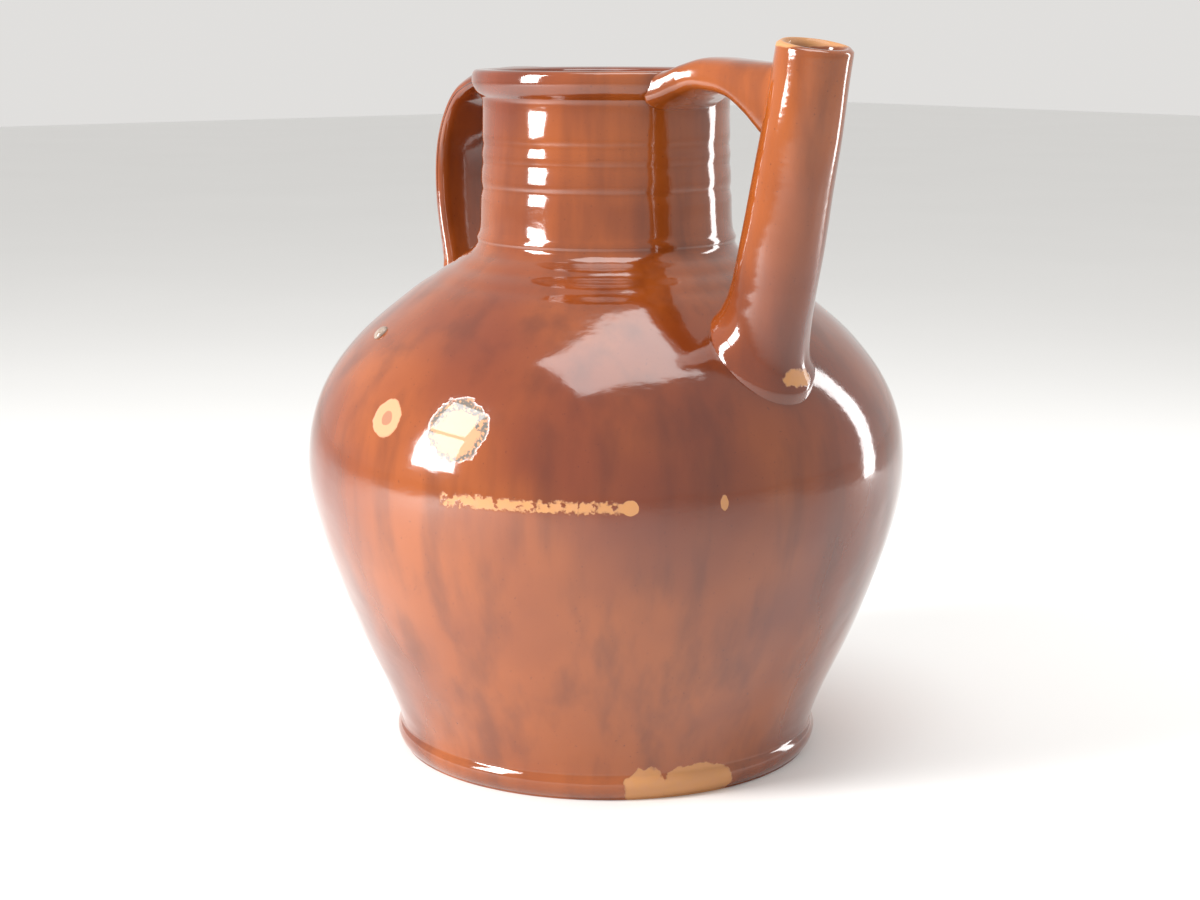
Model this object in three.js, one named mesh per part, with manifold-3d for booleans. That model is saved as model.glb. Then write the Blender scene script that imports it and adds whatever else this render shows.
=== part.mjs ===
// Hand-thrown, lead-glazed earthenware jug with a tubular spout, a bridge strap and a fluted ear handle.
// Millimetres, +Z up. The origin is the centre of the underside; the spout points along +X.
import * as THREE from "three";
import { mergeVertices } from "three/addons/utils/BufferGeometryUtils.js";
import Module from "manifold-3d";

const wasm = await Module();
wasm.setup();

// Driving heights and radii of the thrown body
const RIM_HEIGHT = 300;
const RIM_BAND_HEIGHT = 12;
const RIM_RADIUS = 58.3;
const NECK_LENGTH = 66;
const NECK_RADIUS = 54.8;
const NECK_BASE_RADIUS = 59.1;
const BELLY_RADIUS = 132;
const BELLY_CENTRE_HEIGHT = 130;
const FOOT_RADIUS = 93.2;
const FOOT_HEIGHT = 11.4;
const FOOT_BEAD = 1.6;
const FOOT_RING_WIDTH = 9;
const BELLY_WALL = 6;
const NECK_WALL = 5.5;
const SEAM = 0.3;
const TURN_STEPS = 40;

// Spout
const SPOUT_TOP_HEIGHT = 311.5;
const SPOUT_TOP_REACH = 131;
const SPOUT_TOP_RADIUS = 15.6;
const SPOUT_ROOT_RADIUS = 18.4;
const SPOUT_BORE_RADIUS = 11;
const SPOUT_ROOT_REACH = 98;
const SPOUT_ROOT_DEPTH = 172;
const SPOUT_MIDDLE_BOW = 3;
const SPOUT_STEPS = 10;
const SPOUT_SIDES = 20;
const ROOT_COIL_FLARE = 7;
const ROOT_COIL_HEIGHT = 26;

// Bridge strap from the rim to the spout
const BRIDGE_WIDTH = 26;
const BRIDGE_ROOT_WIDTH = 38;
const BRIDGE_CREST = 6;
const BRIDGE_THICKNESS = 14;
const BRIDGE_GUSSET_DROP = 18;

// Handle strap
const HANDLE_WIDTH = 36;
const HANDLE_THICKNESS = 10.5;
const HANDLE_REACH = 113;
const HANDLE_GRIP_HEIGHT = 252;
const HANDLE_TOP_DROP = 5.5;
const HANDLE_FOOT_REACH = 92;
const HANDLE_FOOT_HEIGHT = 180;
const HANDLE_FLUTE_DEPTH = 1.1;
const HANDLE_STEPS = 18;
const STRAP_SIDES = 24;
const PAD_FLARE = 5;

const NECK_BASE_HEIGHT = RIM_HEIGHT - RIM_BAND_HEIGHT - NECK_LENGTH;
const RIM_BASE_HEIGHT = RIM_HEIGHT - RIM_BAND_HEIGHT;

// One body made from a closed geometry, ready to join and cut
function solidOf(geometry) {
  const bare = geometry.clone();
  bare.deleteAttribute("normal");
  bare.deleteAttribute("uv");
  const merged = mergeVertices(bare, 1e-3);
  return new wasm.Manifold(
    new wasm.Mesh({
      numProp: 3,
      vertProperties: new Float32Array(merged.attributes.position.array),
      triVerts: new Uint32Array(merged.index.array),
    }),
  );
}

function geometryOf(solid) {
  const mesh = solid.getMesh();
  const geometry = new THREE.BufferGeometry();
  geometry.setAttribute("position", new THREE.BufferAttribute(mesh.vertProperties, 3));
  geometry.setIndex(new THREE.BufferAttribute(mesh.triVerts, 1));
  geometry.computeVertexNormals();
  return geometry;
}

// A turned body; the profile is a list of [radius, height] that runs anticlockwise in the (r, z) plane
function turned(profile) {
  const points = profile.map(([radius, height]) => new THREE.Vector2(radius, height));
  const geometry = new THREE.LatheGeometry(points, TURN_STEPS);
  geometry.rotateX(Math.PI / 2);
  const solid = solidOf(geometry);
  return solid;
}

// Skin rings of equal count joined into one closed body, with a fan over each end
function lofted(rings) {
  const sides = rings[0].length;
  const vertices = rings.flat().flatMap((point) => point.toArray());
  const middleOf = (ring) => ring.reduce((sum, point) => sum.add(point), new THREE.Vector3()).divideScalar(sides);
  vertices.push(...middleOf(rings[0]).toArray());
  vertices.push(...middleOf(rings.at(-1)).toArray());
  const firstMiddle = rings.length * sides;
  const lastMiddle = firstMiddle + 1;
  const faces = [];
  for (let row = 0; row + 1 < rings.length; row++) {
    for (let side = 0; side < sides; side++) {
      const next = (side + 1) % sides;
      const a = row * sides + side;
      const b = row * sides + next;
      faces.push(a, b, b + sides, a, b + sides, a + sides);
    }
  }
  for (let side = 0; side < sides; side++) {
    const next = (side + 1) % sides;
    const lastRow = (rings.length - 1) * sides;
    faces.push(firstMiddle, next, side);
    faces.push(lastMiddle, lastRow + side, lastRow + next);
  }
  const geometry = new THREE.BufferGeometry();
  geometry.setAttribute("position", new THREE.Float32BufferAttribute(vertices, 3));
  geometry.setIndex(faces);
  return solidOf(geometry);
}

// Outer radius of the belly at a height: foot, swell, shoulder and neck base on one curve
const bellyCurve = new THREE.SplineCurve([
  new THREE.Vector2(FOOT_RADIUS, FOOT_HEIGHT),
  new THREE.Vector2(FOOT_RADIUS + 6.2, 30),
  new THREE.Vector2(BELLY_RADIUS - 19, 60),
  new THREE.Vector2(BELLY_RADIUS - 4.8, 100),
  new THREE.Vector2(BELLY_RADIUS, BELLY_CENTRE_HEIGHT),
  new THREE.Vector2(BELLY_RADIUS - 5.1, 158),
  new THREE.Vector2(BELLY_RADIUS - 20.5, 182),
  new THREE.Vector2(BELLY_RADIUS - 46, 204),
  new THREE.Vector2(NECK_BASE_RADIUS, NECK_BASE_HEIGHT),
]);

function bellyOutline(grow) {
  return bellyCurve.getPoints(16).map((point) => [point.x + grow, point.y]);
}

// Solid blanks that the luted-on pieces are cut against, one seam larger than the thrown body
function bodyBlank() {
  const belly = turned([[0, FOOT_HEIGHT], ...bellyOutline(SEAM), [0, NECK_BASE_HEIGHT]]);
  const neck = turned([
    [0, NECK_BASE_HEIGHT - 1],
    ...neckOutline(SEAM),
    [RIM_RADIUS + SEAM, RIM_BASE_HEIGHT - SEAM],
    [RIM_RADIUS + SEAM, RIM_HEIGHT + 20],
    [0, RIM_HEIGHT + 20],
  ]);
  return belly.add(neck);
}

function neckOutline(grow) {
  return [
    [NECK_BASE_RADIUS + grow, NECK_BASE_HEIGHT],
    [NECK_RADIUS + 0.9 + grow, NECK_BASE_HEIGHT + 8],
    [NECK_RADIUS + grow, NECK_BASE_HEIGHT + 26],
    [NECK_RADIUS - 1 + grow, RIM_BASE_HEIGHT - 6],
    [NECK_RADIUS - 0.6 + grow, RIM_BASE_HEIGHT],
  ];
}

function floorDisc() {
  const radius = FOOT_RADIUS - FOOT_RING_WIDTH - SEAM;
  return turned([[0, 0], [radius, 0], [radius, FOOT_HEIGHT], [0, FOOT_HEIGHT]]);
}

function footRing() {
  const inner = FOOT_RADIUS - FOOT_RING_WIDTH;
  return turned([
    [inner, 0],
    [FOOT_RADIUS - 2, 0],
    [FOOT_RADIUS + FOOT_BEAD * 0.6, FOOT_HEIGHT * 0.25],
    [FOOT_RADIUS + FOOT_BEAD, FOOT_HEIGHT * 0.6],
    [FOOT_RADIUS + FOOT_BEAD * 0.7, FOOT_HEIGHT * 0.9],
    [FOOT_RADIUS, FOOT_HEIGHT],
    [inner, FOOT_HEIGHT],
    [inner, 0],
  ]);
}

function bellyWall() {
  const outside = bellyOutline(0);
  const inside = bellyOutline(-BELLY_WALL).reverse();
  const wall = turned([...outside, ...inside, outside[0]]);
  return wall.subtract(lofted(spoutRings(() => SPOUT_BORE_RADIUS)));
}

function neckCollar() {
  const outside = neckOutline(0);
  const inside = neckOutline(-NECK_WALL).reverse();
  return turned([...outside, ...inside, outside[0]]);
}

function rimBand() {
  const inner = NECK_RADIUS - NECK_WALL - 0.6;
  const outer = NECK_RADIUS - 0.6;
  return turned([
    [inner, RIM_BASE_HEIGHT],
    [outer, RIM_BASE_HEIGHT],
    [RIM_RADIUS - 1, RIM_BASE_HEIGHT + RIM_BAND_HEIGHT * 0.35],
    [RIM_RADIUS, RIM_BASE_HEIGHT + RIM_BAND_HEIGHT * 0.55],
    [RIM_RADIUS - 0.2, RIM_HEIGHT - 1.4],
    [RIM_RADIUS - 1.8, RIM_HEIGHT],
    [inner + 2, RIM_HEIGHT],
    [inner, RIM_HEIGHT - 2.5],
    [inner, RIM_BASE_HEIGHT],
  ]);
}

// The spout's centre line lies in the XZ plane, a little bowed outwards at its middle
const spoutLine = new THREE.QuadraticBezierCurve3(
  new THREE.Vector3(SPOUT_ROOT_REACH, 0, SPOUT_ROOT_DEPTH),
  new THREE.Vector3(
    (SPOUT_ROOT_REACH + SPOUT_TOP_REACH) / 2 + SPOUT_MIDDLE_BOW,
    0,
    (SPOUT_ROOT_DEPTH + SPOUT_TOP_HEIGHT) / 2,
  ),
  new THREE.Vector3(SPOUT_TOP_REACH, 0, SPOUT_TOP_HEIGHT),
);

function ringAround(curve, along, radius, sides) {
  const onCurve = THREE.MathUtils.clamp(along, 0, 1);
  const tangent = curve.getTangent(onCurve);
  const centre = curve.getPoint(onCurve).addScaledVector(tangent, (along - onCurve) * curve.getLength());
  const outward = new THREE.Vector3(tangent.z, 0, -tangent.x);
  return Array.from({ length: sides }, (_, side) => {
    const angle = (2 * Math.PI * side) / sides;
    return centre
      .clone()
      .addScaledVector(outward, radius * Math.cos(angle))
      .add(new THREE.Vector3(0, radius * Math.sin(angle), 0));
  });
}

function spoutRings(radiusAt, from = -0.02, to = 1.02) {
  return Array.from({ length: SPOUT_STEPS + 1 }, (_, step) => {
    const along = from + ((to - from) * step) / SPOUT_STEPS;
    return ringAround(spoutLine, along, radiusAt(along), SPOUT_SIDES);
  });
}

const spoutRadiusAt = (along) => SPOUT_ROOT_RADIUS + (SPOUT_TOP_RADIUS - SPOUT_ROOT_RADIUS) * along;

function spoutBlank(grow) {
  return lofted(spoutRings((along) => spoutRadiusAt(along) + grow, 0, 1));
}

function spoutTube(body) {
  const bore = lofted(spoutRings(() => SPOUT_BORE_RADIUS, -0.05, 1.05));
  return spoutBlank(0).subtract(bore).subtract(body);
}

// The coil of clay pressed round the spout's root, flaring onto the belly
function spoutRootCoil(body) {
  const topAlong = (ROOT_COIL_HEIGHT + 14) / (SPOUT_TOP_HEIGHT - SPOUT_ROOT_DEPTH);
  const flareAt = (along) => SEAM + 0.8 + ROOT_COIL_FLARE * (1 - along / topAlong) ** 2;
  const blank = lofted(spoutRings((along) => spoutRadiusAt(along) + flareAt(along), 0, topAlong));
  return blank.subtract(spoutBlank(SEAM)).subtract(body);
}

// Upright slices of the bridge: its distance from the axis, underside, top and width
function bridgeSlices() {
  const start = NECK_RADIUS - 6;
  const end = SPOUT_TOP_REACH - 8;
  const crestHeight = RIM_HEIGHT + BRIDGE_CREST;
  return Array.from({ length: 9 }, (_, step) => {
    const share = step / 8;
    const arch = Math.sin(Math.PI * Math.min(1, share * 1.25 + 0.12)) ** 0.7;
    const gusset = BRIDGE_GUSSET_DROP * Math.max(0, (share - 0.45) / 0.55) ** 1.6;
    const root = BRIDGE_ROOT_WIDTH - BRIDGE_WIDTH;
    const top = crestHeight - 8 * (1 - Math.max(arch, share > 0.5 ? 0.8 : 0));
    return {
      reach: start + (end - start) * share,
      top,
      underside: top - BRIDGE_THICKNESS - gusset,
      width: BRIDGE_WIDTH + root * Math.max(0, 1 - share * 3) - 3 * share,
    };
  });
}

function bridgeStrap(body) {
  const rings = bridgeSlices().map(({ reach, top, underside, width }) =>
    Array.from({ length: STRAP_SIDES }, (_, side) => {
      const angle = (2 * Math.PI * side) / STRAP_SIDES;
      const across = Math.sign(Math.cos(angle)) * Math.abs(Math.cos(angle)) ** 0.7;
      const upward = Math.sign(Math.sin(angle)) * Math.abs(Math.sin(angle)) ** 0.7;
      return new THREE.Vector3(
        reach,
        (across * width) / 2,
        (top + underside) / 2 + (upward * (top - underside)) / 2,
      );
    }),
  );
  return lofted(rings).subtract(body).subtract(spoutBlank(SEAM));
}

// The handle's centre line: out from under the rim, round the grip and down onto the shoulder
const handleLine = new THREE.CatmullRomCurve3([
  new THREE.Vector3(-(NECK_RADIUS - 8), 0, RIM_HEIGHT - HANDLE_TOP_DROP - 1),
  new THREE.Vector3(-(NECK_RADIUS + 16), 0, RIM_HEIGHT - HANDLE_TOP_DROP),
  new THREE.Vector3(-(HANDLE_REACH - 20), 0, RIM_HEIGHT - HANDLE_TOP_DROP - 7),
  new THREE.Vector3(-(HANDLE_REACH - HANDLE_THICKNESS / 2 - 3), 0, HANDLE_GRIP_HEIGHT + 20),
  new THREE.Vector3(-(HANDLE_REACH - HANDLE_THICKNESS / 2), 0, HANDLE_GRIP_HEIGHT),
  new THREE.Vector3(-(HANDLE_REACH - HANDLE_THICKNESS / 2 - 4), 0, HANDLE_GRIP_HEIGHT - 29),
  new THREE.Vector3(-HANDLE_FOOT_REACH, 0, HANDLE_FOOT_HEIGHT),
]);

// A strap section with rounded edges and two flutes along its outer face
function strapRing(along, grow) {
  const centre = handleLine.getPoint(along);
  const tangent = handleLine.getTangent(along);
  const outward = new THREE.Vector3(-tangent.z, 0, tangent.x);
  return Array.from({ length: STRAP_SIDES }, (_, side) => {
    const angle = (2 * Math.PI * side) / STRAP_SIDES;
    const across = Math.sign(Math.cos(angle)) * Math.abs(Math.cos(angle)) ** 0.75;
    const through = Math.sign(Math.sin(angle)) * Math.abs(Math.sin(angle)) ** 0.6;
    const flute = through > 0 ? HANDLE_FLUTE_DEPTH * (1 - Math.cos(3 * Math.PI * across)) / 2 : 0;
    const depth = through * (HANDLE_THICKNESS / 2 + grow) - flute;
    return centre
      .clone()
      .addScaledVector(outward, -depth)
      .add(new THREE.Vector3(0, -across * (HANDLE_WIDTH / 2 + grow), 0));
  });
}

function strapBetween(from, to, growAt, steps) {
  const rings = Array.from({ length: steps + 1 }, (_, step) => {
    const along = from + ((to - from) * step) / steps;
    return strapRing(along, growAt(along));
  });
  return lofted(rings);
}

function handleStrap(body) {
  return strapBetween(0, 1, () => 0, HANDLE_STEPS).subtract(body);
}

// A thumbed pad of clay round one end of the handle, flaring onto the body
function handlePad(body, end, inward) {
  const reach = inward - end;
  const growAt = (along) => SEAM + 0.8 + PAD_FLARE * (1 - (along - end) / reach) ** 2;
  const [from, to] = [Math.min(end, inward), Math.max(end, inward)];
  const blank = strapBetween(from, to, growAt, 4);
  return blank.subtract(strapBetween(0, 1, () => SEAM, HANDLE_STEPS)).subtract(body);
}

function clay(colour, roughness) {
  return new THREE.MeshStandardMaterial({ color: colour, roughness, metalness: 0 });
}

const jug = new THREE.Group();
function addPiece(name, solid, colour, roughness) {
  const mesh = new THREE.Mesh(geometryOf(solid), clay(colour, roughness));
  mesh.name = name;
  jug.add(mesh);
}

const BODY_GLAZE = 0x8a3512;
const DARK_GLAZE = 0x6f2409;
const BARE_CLAY = 0xb98256;
const GLAZED = 0.12;
const UNGLAZED = 0.85;

const body = bodyBlank();
addPiece("floor_disc", floorDisc(), BARE_CLAY, UNGLAZED);
addPiece("foot_ring", footRing(), BODY_GLAZE, GLAZED);
addPiece("belly_wall", bellyWall(), BODY_GLAZE, GLAZED);
addPiece("neck_collar", neckCollar(), BODY_GLAZE, GLAZED);
addPiece("rim_band", rimBand(), BODY_GLAZE, GLAZED);
addPiece("spout_tube", spoutTube(body), DARK_GLAZE, GLAZED);
addPiece("spout_root_coil", spoutRootCoil(body), DARK_GLAZE, GLAZED);
addPiece("bridge_strap", bridgeStrap(body), DARK_GLAZE, GLAZED);
addPiece("handle_strap", handleStrap(body), BODY_GLAZE, GLAZED);
addPiece("handle_upper_pad", handlePad(body, 0.0, 0.17), BODY_GLAZE, GLAZED);
addPiece("handle_lower_pad", handlePad(body, 1.0, 0.86), BODY_GLAZE, GLAZED);

export default jug;
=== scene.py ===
# Brown glazed earthenware jug with a tubular spout, a bridge strap and a fluted ear handle. Metres.
import math

import bmesh
import bpy
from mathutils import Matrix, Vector, noise


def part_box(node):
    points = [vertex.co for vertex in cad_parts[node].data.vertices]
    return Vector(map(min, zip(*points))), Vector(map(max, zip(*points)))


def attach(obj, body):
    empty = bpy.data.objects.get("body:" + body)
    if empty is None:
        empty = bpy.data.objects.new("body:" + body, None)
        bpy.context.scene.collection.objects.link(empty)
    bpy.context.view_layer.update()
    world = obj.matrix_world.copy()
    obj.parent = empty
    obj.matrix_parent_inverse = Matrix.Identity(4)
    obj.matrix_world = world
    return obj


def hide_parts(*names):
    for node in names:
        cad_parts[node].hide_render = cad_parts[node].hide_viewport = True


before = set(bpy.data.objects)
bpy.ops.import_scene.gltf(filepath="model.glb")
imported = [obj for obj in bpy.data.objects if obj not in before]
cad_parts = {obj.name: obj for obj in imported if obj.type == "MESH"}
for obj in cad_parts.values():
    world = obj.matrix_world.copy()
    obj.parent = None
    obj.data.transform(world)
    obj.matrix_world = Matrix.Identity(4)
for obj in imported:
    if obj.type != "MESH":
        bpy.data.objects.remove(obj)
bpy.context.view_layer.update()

MM = 0.001

# Heights and radii of the thrown body, from the frame
FOOT_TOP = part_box("foot_ring")[1][2]
NECK_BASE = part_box("neck_collar")[0][2]
RIM_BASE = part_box("rim_band")[0][2]
RIM_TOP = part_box("rim_band")[1][2]
BELLY_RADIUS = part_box("belly_wall")[1][0]
RIM_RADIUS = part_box("rim_band")[1][0]
FOOT_RADIUS = 93.2 * MM
WALL = 6 * MM
TURN_STEPS = 256
BODY_SPACING = 1.5 * MM
FOOT_SPACING = 1 * MM
RIM_SPACING = 0.8 * MM

# Unevenness of the thrown wall: depth and how closely it repeats
HAND_WOBBLE = 0.7 * MM
HAND_WOBBLE_SCALE = 14
FINE_WOBBLE = 0.25 * MM
FINE_WOBBLE_SCALE = 60
WOBBLE_START = 2 * MM
WOBBLE_FADE = 20 * MM

# Finger grooves and ridges round the neck and shoulder: height and depth in millimetres
THROWING_RINGS = [(268, 0.5), (260, 0.5), (249, 0.6), (228, -0.9), (222.4, 0.6), (216.3, 0.7), (210.4, 0.5)]
RING_WIDTH = 1.8 * MM

# Clay smeared onto the body at each luted joint
LUTE_FLARE = 5.5 * MM
LUTE_FADE = 6 * MM

# Spout: centre line from inside the wall to the lip
SPOUT_LINE = [(98 * MM, 0, 172 * MM), (117.5 * MM, 0, 241.7 * MM), (131 * MM, 0, 311.5 * MM)]
SPOUT_TOP_RADIUS = 15.5 * MM
SPOUT_ROOT_RADIUS = 18.2 * MM
BORE_RADIUS = 11 * MM
SPOUT_SIDES = 72
SPOUT_ROWS = 120
BORE_ROW_SKIP = 2
TANGENT_STEP = 0.01
LIP_ROUNDING = 1.6 * MM
LIP_SHARE = 0.015
BORE_MOUTH_FLARE = 1.4 * MM
BORE_MOUTH_SHARE = 0.02
SPOUT_UNEVEN = 0.35 * MM
SPOUT_SHRINK = 0.2 * MM

# Handle: centre line in millimetres, from under the rim round the grip to the shoulder
HANDLE_POINTS = [
    (-50, 293.0), (-60, 294.0), (-71, 294.6), (-82, 292.6), (-93, 287.0), (-101, 277.0), (-106, 265.0),
    (-107.8, 252.0), (-107.2, 238.0), (-104.6, 224.0), (-99.5, 208.0), (-95.5, 194.0), (-91.5, 181.0),
]
HANDLE_SPACING = 1.2 * MM
HANDLE_WIDTH = 34.5 * MM
HANDLE_THICKNESS = 9.5 * MM
HANDLE_PAD_WIDTH = 7 * MM
HANDLE_PAD_THICKNESS = 3 * MM
FLUTE_DEPTH = 1.3 * MM
STRAP_SIDES = 96
STRAP_SIDE_POWER = 0.75
STRAP_FACE_POWER = 0.6

# Bridge: distance from the axis, top, underside and width in millimetres
BRIDGE_SLICES = [
    (52, 300.5, 283.5, 42), (58, 301.5, 285.5, 37), (64, 303.8, 288.5, 31), (72, 305.8, 291.5, 27),
    (80, 305.9, 291.5, 25), (88, 305.4, 290.5, 24), (96, 304.9, 288.0, 23), (104, 304.4, 282.0, 22),
    (110, 304.2, 274.5, 21), (117, 304.0, 268.0, 20),
]
BRIDGE_SPACING = 1 * MM
BRIDGE_STEPS = 56

# Places on the wall: turn from the camera's right in degrees, and height in millimetres
SPOUT_TURN = 52
BEAD_PLACE = (157.9, 189.9)
WEAR_MIDDLE = (103, 134)
WEAR_END = (86, 134)
WEAR_DOT = (69.4, 134.4)
ROOT_CHIP = (51, 179)
FOOT_CHIP_LEFT = (80, 5)
FOOT_CHIP_RIGHT = (66, 5)

# Glaze bead on the shoulder
BEAD_RADIUS = 3.6 * MM
BEAD_FLATTENING = 0.45
BEAD_UNEVEN = 0.3 * MM
BEAD_UNEVEN_SCALE = 300
BEAD_LEAN_OUT = 0.63
BEAD_LEAN_UP = 0.78

# Worn line round the belly and worn lip of the spout: ragged depth, and where bareness fades
WEAR_RAGGED = 5 * MM
WEAR_EDGE = (2.6 * MM, 1.4 * MM)
WEAR_REACH = (40 * MM, 38 * MM)
LIP_RAGGED = 2 * MM
LIP_EDGE = (311.0 * MM, 312.0 * MM)

# Chips in the glaze: place, lift off the wall, radius, raggedness and stretch of the axes
CHIPS = [
    (WEAR_END, 0, 3.2 * MM, 2 * MM, (1, 1, 1)),
    (WEAR_DOT, 0, 2.4 * MM, 2 * MM, (1.4, 1.4, 0.7)),
    (ROOT_CHIP, 0, 10 * MM, 7 * MM, (1, 1, 1.9)),
    (FOOT_CHIP_LEFT, 1 * MM, 9 * MM, 7 * MM, (1, 1, 1)),
    (FOOT_CHIP_RIGHT, 1 * MM, 13 * MM, 9 * MM, (0.8, 0.8, 1.4)),
]

# Kiln scars: place, radius and raggedness
BIG_SCAR = ((118.2, 161.2), 13 * MM, 6 * MM)
BIG_SCAR_HEART = ((118.2, 160.0), 9.5 * MM, 9 * MM)
SMALL_SCAR = ((135.5, 161.9), 8 * MM, 3 * MM)
SMALL_SCAR_PIT = ((135.5, 161.9), 3 * MM, 1.5 * MM)

AMBER = (0.30, 0.070, 0.010, 1)
BROWN = (0.150, 0.026, 0.006, 1)
MAROON = (0.060, 0.010, 0.004, 1)
OCHRE = (0.50, 0.22, 0.055, 1)
CLAY = (0.47, 0.215, 0.095, 1)
SOOT = (0.09, 0.075, 0.06, 1)
# Pale colour of the glaze bead: a painted highlight standing in for the white glint on the bead
BEAD_PAINTED_HIGHLIGHT = (0.5, 0.42, 0.34, 1)
FLOOR_DARK = (0.84, 0.84, 0.83, 1)
FLOOR_PALE = (0.87, 0.87, 0.86, 1)
GLAZE_ROUGHNESS = 0.09
DRY_ROUGHNESS_RISE = 0.62
BEAD_ROUGHNESS = 0.08
FLOOR_ROUGHNESS = 0.7

# Camera at the photograph's viewing angle
CAMERA_PLACE = (760.9 * MM, -597.9 * MM, 318.6 * MM)
CAMERA_TURN = math.radians(SPOUT_TURN)
CAMERA_PITCH = math.radians(10.93)
CAMERA_LENS = 66
SENSOR = 36
NEAREST_SEEN = 0.01

# Studio: each softbox's place to the camera's right, ahead of it and up, its size and its power
SOFTBOXES = [
    ("window_low", -0.95, -0.45, 0.42, (0.34, 0.36), 11),
    ("window_high", -0.95, -0.45, 0.86, (0.34, 0.36), 11),
    ("top", 0.1, -0.2, 1.4, (0.9, 0.6), 7),
    ("right_edge", 0.9, 0.35, 0.4, (0.15, 0.9), 3.5),
]
LIGHT_AIM = Vector((0, 0, 0.17))
WORLD_COLOUR = (1, 0.985, 0.965, 1)
WORLD_STRENGTH = 0.75
FLOOR_SPAN = 6.0


def smooth_line(points, spacing):
    """Points every spacing along a Catmull-Rom curve through the given (radius, height) points."""
    out = []
    for i in range(len(points) - 1):
        a = Vector(points[max(i - 1, 0)])
        b = Vector(points[i])
        c = Vector(points[i + 1])
        d = Vector(points[min(i + 2, len(points) - 1)])
        count = max(2, round((c - b).length / spacing))
        for k in range(count):
            t = k / count
            square = (2 * a - 5 * b + 4 * c - d) * t * t
            cube = (3 * b - a - 3 * c + d) * t ** 3
            out.append(0.5 * (2 * b + (c - a) * t + square + cube))
    out.append(Vector(points[-1]))
    return out


def throwing_ring(height):
    """How far the finger grooves and ridges move the wall at a height."""
    return sum(
        -depth * MM * math.exp(-(((height - z * MM) / RING_WIDTH) ** 2)) for z, depth in THROWING_RINGS
    )


def outer_line():
    """The outer wall from the foot to the rim as (radius, height) points."""
    points = [
        (FOOT_RADIUS, FOOT_TOP),
        (FOOT_RADIUS + 0.8 * MM, 16 * MM),
        (FOOT_RADIUS + 6.2 * MM, 30 * MM),
        (BELLY_RADIUS - 19 * MM, 60 * MM),
        (BELLY_RADIUS - 4.8 * MM, 100 * MM),
        (BELLY_RADIUS, 130 * MM),
        (BELLY_RADIUS - 5.1 * MM, 158 * MM),
        (BELLY_RADIUS - 20.5 * MM, 182 * MM),
        (BELLY_RADIUS - 46 * MM, 204 * MM),
        (60.0 * MM, NECK_BASE),
        (55.9 * MM, NECK_BASE + 8 * MM),
        (54.8 * MM, NECK_BASE + 26 * MM),
        (53.8 * MM, RIM_BASE - 6 * MM),
        (54.2 * MM, RIM_BASE),
    ]
    return [Vector((p.x + throwing_ring(p.y), p.y)) for p in smooth_line(points, BODY_SPACING)]


outer_body = outer_line()


def body_radius(height):
    """Outer radius of the thrown body at a height."""
    if height >= RIM_BASE:
        return RIM_RADIUS - 1 * MM
    for low, high in zip(outer_body, outer_body[1:]):
        if low.y <= height <= high.y:
            share = (height - low.y) / max(high.y - low.y, 1e-9)
            return low.x + (high.x - low.x) * share
    return FOOT_RADIUS


def height_above_body(point):
    """Roughly how far a point stands off the thrown body."""
    reach = 2 * MM
    steepest = 3.0
    radius = body_radius(point.z)
    slope = (body_radius(point.z + reach) - body_radius(point.z - reach)) / (2 * reach)
    slope = max(-steepest, min(steepest, slope))
    return (math.hypot(point.x, point.y) - radius) / math.sqrt(1 + slope * slope)


def new_piece(name, mesh_maker):
    """An object whose mesh is made by a function, with its faces turned outwards."""
    mesh = bpy.data.meshes.new(name)
    work = bmesh.new()
    mesh_maker(work)
    bmesh.ops.recalc_face_normals(work, faces=work.faces)
    work.to_mesh(mesh)
    work.free()
    mesh.polygons.foreach_set("use_smooth", [True] * len(mesh.polygons))
    piece = bpy.data.objects.new(name, mesh)
    bpy.context.scene.collection.objects.link(piece)
    return piece


def skin(work, rows):
    """Faces between neighbouring rows of points; a row of one point closes on the axis."""
    for low, high in zip(rows, rows[1:]):
        count = max(len(low), len(high))
        for k in range(count):
            n = (k + 1) % count
            if len(low) == 1:
                work.faces.new((low[0], high[n], high[k]))
            elif len(high) == 1:
                work.faces.new((low[k], low[n], high[0]))
            else:
                work.faces.new((low[k], low[n], high[n], high[k]))


def cap(work, rows):
    """A skin with a face over each end."""
    skin(work, rows)
    work.faces.new(rows[0][::-1])
    work.faces.new(rows[-1])


def turned_profile():
    """Foot bead, outer wall, rim, inner wall and floor as one line from axis to axis."""
    foot = [
        (0, 0),
        (60 * MM, 0),
        (88.6 * MM, 0),
        (91.3 * MM, 0.6 * MM),
        (93.6 * MM, 3.2 * MM),
        (94.7 * MM, 6.6 * MM),
        (94.2 * MM, 9.4 * MM),
        (92.9 * MM, 11.0 * MM),
    ]
    rim = [
        (54.4 * MM, RIM_BASE + 0.4 * MM),
        (56.4 * MM, RIM_BASE + 2.4 * MM),
        (58.0 * MM, RIM_BASE + 5.6 * MM),
        (58.3 * MM, RIM_BASE + 7.2 * MM),
        (58.1 * MM, RIM_TOP - 2.0 * MM),
        (57.2 * MM, RIM_TOP - 0.5 * MM),
        (55.4 * MM, RIM_TOP),
        (52.0 * MM, RIM_TOP - 0.3 * MM),
        (49.4 * MM, RIM_TOP - 2.2 * MM),
        (48.7 * MM, RIM_BASE),
    ]
    inside = [Vector((p.x - WALL, p.y)) for p in reversed(outer_body[::3]) if p.y > FOOT_TOP + 6 * MM]
    inner_floor = [Vector((70 * MM, FOOT_TOP + 1.5 * MM)), Vector((0, FOOT_TOP))]
    outside = smooth_line(foot, FOOT_SPACING) + outer_body[1:] + smooth_line(rim, RIM_SPACING)
    return outside + inside + inner_floor


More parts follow.
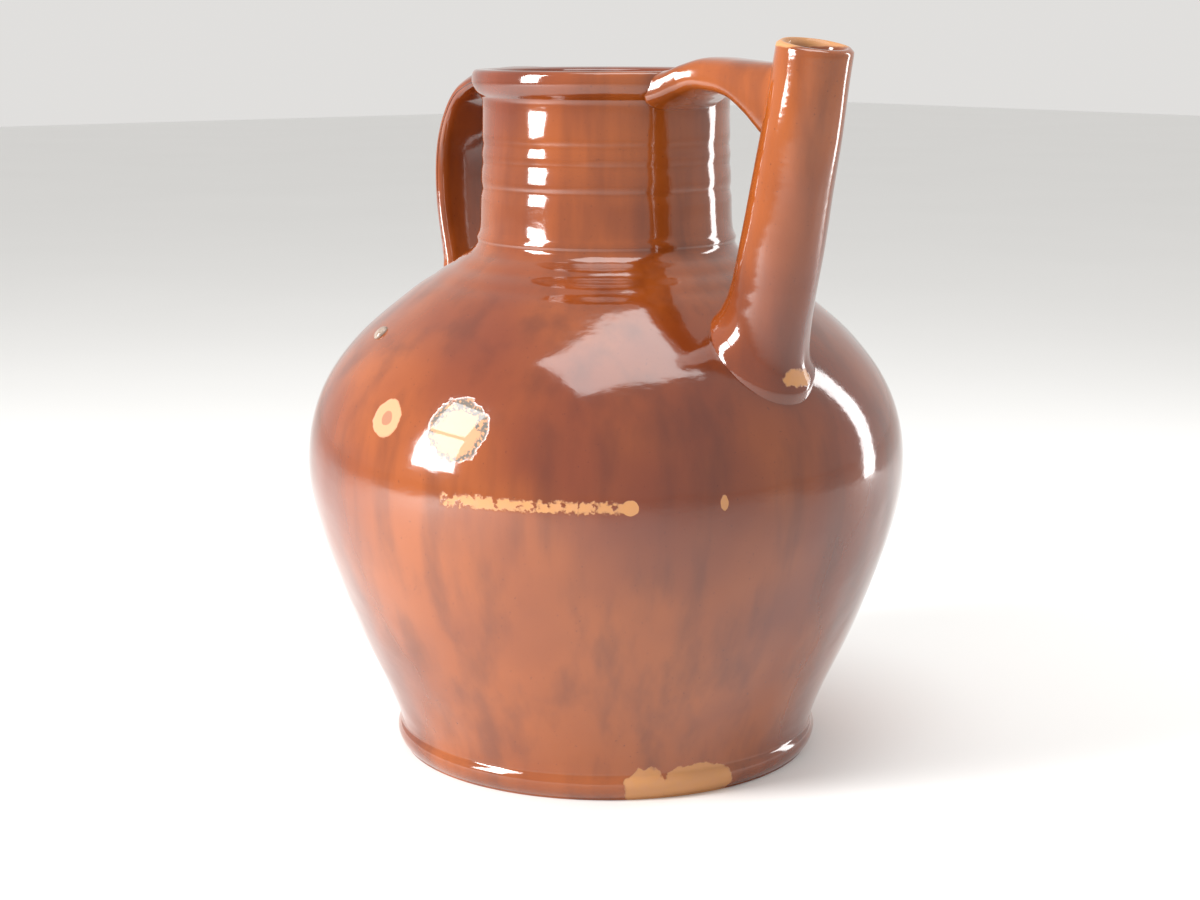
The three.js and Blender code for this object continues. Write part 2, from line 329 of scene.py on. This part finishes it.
def wobble(place):
    """The unevenness of a hand-thrown wall at a place, in metres."""
    slow = HAND_WOBBLE * noise.noise(place * HAND_WOBBLE_SCALE)
    return slow + FINE_WOBBLE * noise.noise(place * FINE_WOBBLE_SCALE)


def make_body(work):
    """The thrown wall: its unevenness only presses inwards, and fades out at the foot."""
    on_axis = 1e-6
    rows = []
    for p in turned_profile():
        if p.x < on_axis:
            rows.append([work.verts.new((0, 0, p.y))])
            continue
        row = []
        for step in range(TURN_STEPS):
            angle = 2 * math.pi * step / TURN_STEPS
            place = Vector((p.x * math.cos(angle), p.x * math.sin(angle), p.y))
            share = min(1.0, max(0.0, (p.y - WOBBLE_START) / WOBBLE_FADE))
            radius = p.x + min(wobble(place), 0) * share
            row.append(work.verts.new((radius * math.cos(angle), radius * math.sin(angle), p.y)))
        rows.append(row)
    skin(work, rows)


def bezier(points, t):
    a, b, c = (Vector(p) for p in points)
    return (1 - t) ** 2 * a + 2 * t * (1 - t) * b + t * t * c


def spout_centre(t):
    """A point of the spout's centre line, and the direction square to it in the upright plane."""
    after = bezier(SPOUT_LINE, min(t + TANGENT_STEP, 1))
    before = bezier(SPOUT_LINE, max(t - TANGENT_STEP, 0))
    along = (after - before).normalized()
    return bezier(SPOUT_LINE, t), Vector((along.z, 0, -along.x))


def spout_sides(outward):
    """The angle and the direction of each side of the round tube."""
    for side in range(SPOUT_SIDES):
        angle = 2 * math.pi * side / SPOUT_SIDES
        yield angle, outward * math.cos(angle) + Vector((0, math.sin(angle), 0))


def flared(centre, direction, radius):
    """A wall point, pushed outwards near the body where the clay is smeared onto it."""
    point = centre + direction * radius
    stand = max(height_above_body(point), 0)
    return centre + direction * (radius + LUTE_FLARE * math.exp(-stand / LUTE_FADE))


def spout_outside(work):
    rows = []
    for step in range(SPOUT_ROWS + 1):
        t = step / SPOUT_ROWS
        centre, outward = spout_centre(t)
        lip = max(0.0, (t - (1 - LIP_SHARE)) / LIP_SHARE)
        radius = SPOUT_ROOT_RADIUS + (SPOUT_TOP_RADIUS - SPOUT_ROOT_RADIUS) * t
        radius -= LIP_ROUNDING * (1 - math.sqrt(max(0.0, 1 - lip * lip)))
        row = []
        for angle, direction in spout_sides(outward):
            uneven = SPOUT_UNEVEN * noise.noise(Vector((angle * 1.5, t * 6, 3.1))) - SPOUT_SHRINK
            row.append(work.verts.new(flared(centre, direction, radius + uneven)))
        rows.append(row)
    return rows


def spout_bore(work):
    rows = []
    for step in range(SPOUT_ROWS, -1, -BORE_ROW_SKIP):
        t = step / SPOUT_ROWS
        centre, outward = spout_centre(t)
        mouth = max(0.0, (t - (1 - BORE_MOUTH_SHARE)) / BORE_MOUTH_SHARE)
        radius = BORE_RADIUS + BORE_MOUTH_FLARE * mouth
        rows.append([work.verts.new(centre + direction * radius) for _, direction in spout_sides(outward)])
    return rows


def make_spout(work):
    outside = spout_outside(work)
    skin(work, outside + spout_bore(work) + [outside[0]])


def strap_section(side, width, thickness, flutes):
    """Across and through offsets of one point of a rounded strap with finger flutes on its outer face."""
    angle = 2 * math.pi * side / STRAP_SIDES
    across = math.copysign(abs(math.cos(angle)) ** STRAP_SIDE_POWER, math.cos(angle))
    through = math.copysign(abs(math.sin(angle)) ** STRAP_FACE_POWER, math.sin(angle))
    groove = 0.0
    if through > 0:
        groove = flutes * (1 - math.cos(3 * math.pi * across)) / 2
    return across * width / 2, through * thickness / 2 - groove


def make_handle(work):
    line = smooth_line([(x * MM, z * MM) for x, z in HANDLE_POINTS], HANDLE_SPACING)
    rows = []
    for k, p in enumerate(line):
        ahead = line[min(k + 1, len(line) - 1)] - line[max(k - 1, 0)]
        ahead.normalize()
        outward = Vector((ahead.y, 0, -ahead.x))
        centre = Vector((p.x, 0, p.y))
        stand = max(height_above_body(centre) - HANDLE_THICKNESS / 2, 0)
        grow = math.exp(-stand / LUTE_FADE)
        width = HANDLE_WIDTH + HANDLE_PAD_WIDTH * grow
        thickness = HANDLE_THICKNESS + HANDLE_PAD_THICKNESS * grow
        row = []
        for side in range(STRAP_SIDES):
            across, through = strap_section(side, width, thickness, FLUTE_DEPTH * (1 - grow))
            row.append(work.verts.new(centre + outward * through + Vector((0, across, 0))))
        rows.append(row)
    cap(work, rows)


def pick(line, share):
    """The point at a share of the way along a list of points."""
    place = share * (len(line) - 1)
    low = int(place)
    high = min(low + 1, len(line) - 1)
    return line[low].lerp(line[high], place - low)


def make_bridge(work):
    tops, lows, widths = (
        smooth_line([(sizes[0] * MM, sizes[column] * MM) for sizes in BRIDGE_SLICES], BRIDGE_SPACING)
        for column in (1, 2, 3)
    )
    rows = []
    for k in range(BRIDGE_STEPS + 1):
        share = k / BRIDGE_STEPS
        top, low, width = (pick(line, share) for line in (tops, lows, widths))
        row = []
        for side in range(STRAP_SIDES):
            across, through = strap_section(side, width.y, top.y - low.y, 0)
            row.append(work.verts.new((top.x, across, (top.y + low.y) / 2 + through)))
        rows.append(row)
    cap(work, rows)


def on_body(place, lift=0.0):
    """A point on the glazed wall, from its turn and height."""
    turn, height = place
    angle = math.radians(SPOUT_TURN - turn)
    radius = body_radius(height * MM) + lift
    return Vector((radius * math.cos(angle), radius * math.sin(angle), height * MM))


def make_bead(work):
    """A bead of glaze on the shoulder, flattened against the wall."""
    centre = on_body(BEAD_PLACE)
    outward = Vector((centre.x, centre.y, 0)).normalized() * BEAD_LEAN_OUT + Vector((0, 0, BEAD_LEAN_UP))
    bmesh.ops.create_icosphere(work, subdivisions=4, radius=BEAD_RADIUS)
    for vert in work.verts:
        depth = vert.co.dot(outward)
        vert.co = centre + vert.co - outward * depth * BEAD_FLATTENING
        vert.co += outward * BEAD_UNEVEN * noise.noise(vert.co * BEAD_UNEVEN_SCALE)


class Nodes:
    """Small helper that makes and links the shader nodes of one material, in object space."""

    def __init__(self, name):
        self.material = bpy.data.materials.new(name)
        self.material.use_nodes = True
        self.tree = self.material.node_tree
        self.shader = self.tree.nodes["Principled BSDF"]
        self.place = self.add("ShaderNodeTexCoord").outputs["Object"]

    def add(self, kind, inputs=None, **settings):
        node = self.tree.nodes.new(kind)
        for key, value in settings.items():
            setattr(node, key, value)
        for key, value in (inputs or {}).items():
            self.put(node.inputs[key], value)
        return node

    def put(self, socket, value):
        """Links a socket to the input, or sets a plain value on it."""
        if isinstance(value, bpy.types.NodeSocket):
            self.tree.links.new(value, socket)
        else:
            socket.default_value = value

    def math(self, operation, a, b=0.0):
        return self.add("ShaderNodeMath", {0: a, 1: b}, operation=operation).outputs[0]

    def noise(self, scale, detail=4.0, stretch=(1, 1, 1)):
        mapped = self.add("ShaderNodeMapping", {"Vector": self.place, "Scale": stretch}).outputs[0]
        inputs = {"Vector": mapped, "Scale": scale, "Detail": detail}
        return self.add("ShaderNodeTexNoise", inputs).outputs[0]

    def band(self, value, low, high):
        """0 at low and 1 at high, with a smooth step between."""
        inputs = {"Value": value, "From Min": low, "From Max": high}
        return self.add("ShaderNodeMapRange", inputs, interpolation_type="SMOOTHSTEP").outputs[0]

    def mix(self, share, a, b):
        node = self.add("ShaderNodeMix", data_type="RGBA")
        factor, first, second = (node.inputs[k] for k in (0, 6, 7))
        self.put(factor, share)
        self.put(first, a)
        self.put(second, b)
        return node.outputs[2]

    def vector_math(self, operation, *values):
        return self.add("ShaderNodeVectorMath", dict(enumerate(values)), operation=operation).outputs

    def near(self, point, stretch=(1, 1, 1)):
        """Distance from a point, each axis stretched."""
        away = self.vector_math("SUBTRACT", self.place, point)[0]
        scaled = self.vector_math("MULTIPLY", away, stretch)[0]
        return self.vector_math("LENGTH", scaled)["Value"]

    def patch(self, point, radius, ragged, stretch=(1, 1, 1)):
        """A ragged round patch: 1 inside, 0 outside."""
        rough = self.math("MULTIPLY", self.math("SUBTRACT", self.noise(220, 5), 0.5), ragged)
        distance = self.math("ADD", self.near(point, stretch), rough)
        return self.band(distance, radius * 1.06, radius * 0.94)


def glaze_colour(n):
    """Brown glaze, amber in broad clouds, with darker upright streaks and fine dark flecks."""
    clouds = n.band(n.noise(9, 3), 0.35, 0.68)
    streaks = n.band(n.noise(60, 4, (1, 1, 0.18)), 0.42, 0.72)
    flecks = n.band(n.noise(900, 2), 0.70, 0.76)
    colour = n.mix(clouds, BROWN, AMBER)
    colour = n.mix(n.math("MULTIPLY", streaks, 0.45), colour, MAROON)
    return n.mix(n.math("MULTIPLY", flecks, 0.7), colour, MAROON)


def wear_line(n, height):
    """The scratched line round the belly, broken up along its length."""
    line_height = WEAR_MIDDLE[1] * MM
    ragged = n.math("MULTIPLY", n.math("SUBTRACT", n.noise(500, 3), 0.5), WEAR_RAGGED)
    away = n.math("ABSOLUTE", n.math("ADD", n.math("SUBTRACT", height, line_height), ragged))
    line = n.band(away, *WEAR_EDGE)
    reach = n.band(n.near(on_body(WEAR_MIDDLE)), *WEAR_REACH)
    broken = n.band(n.noise(260, 3), 0.36, 0.44)
    return n.math("MULTIPLY", n.math("MULTIPLY", line, reach), broken)


def chipped(n, height):
    """1 where the glaze is worn or chipped off: the wear line, the chips and the spout's lip."""
    bare = wear_line(n, height)
    for place, lift, radius, ragged, stretch in CHIPS:
        bare = n.math("MAXIMUM", bare, n.patch(on_body(place, lift), radius, ragged, stretch))
    ragged_height = n.math("ADD", height, n.math("MULTIPLY", n.noise(180, 3), LIP_RAGGED))
    return n.math("MAXIMUM", bare, n.band(ragged_height, *LIP_EDGE))


def scar_patch(n, scar):
    place, radius, ragged = scar
    return n.patch(on_body(place), radius, ragged)


def with_kiln_scars(n, colour):
    """Two scars of bare clay, the big one inside a gritty dark ring. Gives the colour and the scars."""
    big, heart, small, pit = (
        scar_patch(n, scar) for scar in (BIG_SCAR, BIG_SCAR_HEART, SMALL_SCAR, SMALL_SCAR_PIT)
    )
    grit = n.band(n.noise(700, 3), 0.45, 0.6)
    colour = n.mix(big, colour, n.mix(grit, SOOT, CLAY))
    colour = n.mix(heart, colour, CLAY)
    colour = n.mix(small, colour, CLAY)
    colour = n.mix(n.math("MULTIPLY", pit, 0.6), colour, BROWN)
    return colour, n.math("MAXIMUM", big, small)


def glaze_relief(n, dry):
    """Slow waves in the glaze and a fine orange peel, lower where the glaze is gone."""
    waves = n.noise(45, 3, (1, 1, 1.8))
    relief = n.math("SUBTRACT", waves, n.math("MULTIPLY", dry, 0.6))
    relief = n.math("ADD", relief, n.math("MULTIPLY", n.noise(1100, 2), 0.04))
    return n.add("ShaderNodeBump", {"Height": relief, "Strength": 0.22, "Distance": 1.2 * MM}).outputs[0]


def glaze_material():
    n = Nodes("brown_glaze")
    height = n.add("ShaderNodeSeparateXYZ", {"Vector": n.place}).outputs["Z"]
    bare = chipped(n, height)
    colour = n.mix(bare, glaze_colour(n), n.mix(n.noise(300, 3), OCHRE, CLAY))
    colour, scars = with_kiln_scars(n, colour)
    dry = n.math("MAXIMUM", bare, scars)
    roughness = n.math("ADD", GLAZE_ROUGHNESS, n.math("MULTIPLY", dry, DRY_ROUGHNESS_RISE))
    n.put(n.shader.inputs["Base Color"], colour)
    n.put(n.shader.inputs["Roughness"], roughness)
    n.put(n.shader.inputs["Normal"], glaze_relief(n, dry))
    n.shader.inputs["IOR"].default_value = 1.6
    n.shader.inputs["Coat Weight"].default_value = 0.35
    n.shader.inputs["Coat Roughness"].default_value = 0.03
    return n.material


def bead_material():
    n = Nodes("glaze_bead")
    # The bead's pale colour is a painted highlight, mottled with maroon
    n.put(n.shader.inputs["Base Color"], n.mix(n.noise(400, 2), BEAD_PAINTED_HIGHLIGHT, MAROON))
    n.shader.inputs["Roughness"].default_value = BEAD_ROUGHNESS
    return n.material


def floor_material():
    n = Nodes("pale_floor")
    n.put(n.shader.inputs["Base Color"], n.mix(n.noise(3, 2), FLOOR_DARK, FLOOR_PALE))
    n.shader.inputs["Roughness"].default_value = FLOOR_ROUGHNESS
    return n.material


def dress():
    """The jug's visible pieces, each riding on the one body."""
    glaze = glaze_material()
    body_piece = new_piece("thrown_body", make_body)
    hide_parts("floor_disc", "foot_ring", "belly_wall", "neck_collar", "rim_band")
    spout = new_piece("spout", make_spout)
    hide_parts("spout_tube", "spout_root_coil")
    bridge = new_piece("bridge", make_bridge)
    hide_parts("bridge_strap")
    handle = new_piece("handle", make_handle)
    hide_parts("handle_strap", "handle_upper_pad", "handle_lower_pad")
    bead = new_piece("glaze_bead", make_bead)
    for piece in (body_piece, spout, bridge, handle):
        piece.data.materials.append(glaze)
    bead.data.materials.append(bead_material())
    for piece in (body_piece, spout, bridge, handle, bead):
        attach(piece, "root")


def camera():
    data = bpy.data.cameras.new("camera")
    data.lens = CAMERA_LENS
    data.sensor_width = SENSOR
    data.clip_start = NEAREST_SEEN
    holder = bpy.data.objects.new("camera", data)
    holder.location = CAMERA_PLACE
    holder.rotation_euler = (math.pi / 2 - CAMERA_PITCH, 0, CAMERA_TURN)
    bpy.context.scene.collection.objects.link(holder)
    bpy.context.scene.camera = holder


def softbox(name, side, ahead, up, size, power):
    """A white area light placed from the camera's point of view, aimed at the jug's middle."""
    right = Vector((math.cos(CAMERA_TURN), math.sin(CAMERA_TURN), 0))
    forward = Vector((-math.sin(CAMERA_TURN), math.cos(CAMERA_TURN), 0))
    data = bpy.data.lights.new(name, "AREA")
    data.shape = "RECTANGLE"
    data.size, data.size_y = size
    data.energy = power
    lamp = bpy.data.objects.new(name, data)
    lamp.location = right * side + forward * ahead + Vector((0, 0, up))
    lamp.rotation_euler = (LIGHT_AIM - lamp.location).to_track_quat("-Z", "Y").to_euler()
    bpy.context.scene.collection.objects.link(lamp)


def studio():
    world = bpy.data.worlds.new("studio")
    world.use_nodes = True
    background = world.node_tree.nodes["Background"]
    background.inputs["Color"].default_value = WORLD_COLOUR
    background.inputs["Strength"].default_value = WORLD_STRENGTH
    bpy.context.scene.world = world
    for box in SOFTBOXES:
        softbox(*box)


def floor():
    mesh = bpy.data.meshes.new("floor")
    span = FLOOR_SPAN
    corners = [(-span, -span, 0), (span, -span, 0), (span, span, 0), (-span, span, 0)]
    mesh.from_pydata(corners, [], [(0, 1, 2, 3)])
    ground = bpy.data.objects.new("floor", mesh)
    bpy.context.scene.collection.objects.link(ground)
    mesh.materials.append(floor_material())


camera()
studio()
floor()
dress()
bpy.context.scene.view_settings.view_transform = "Standard"
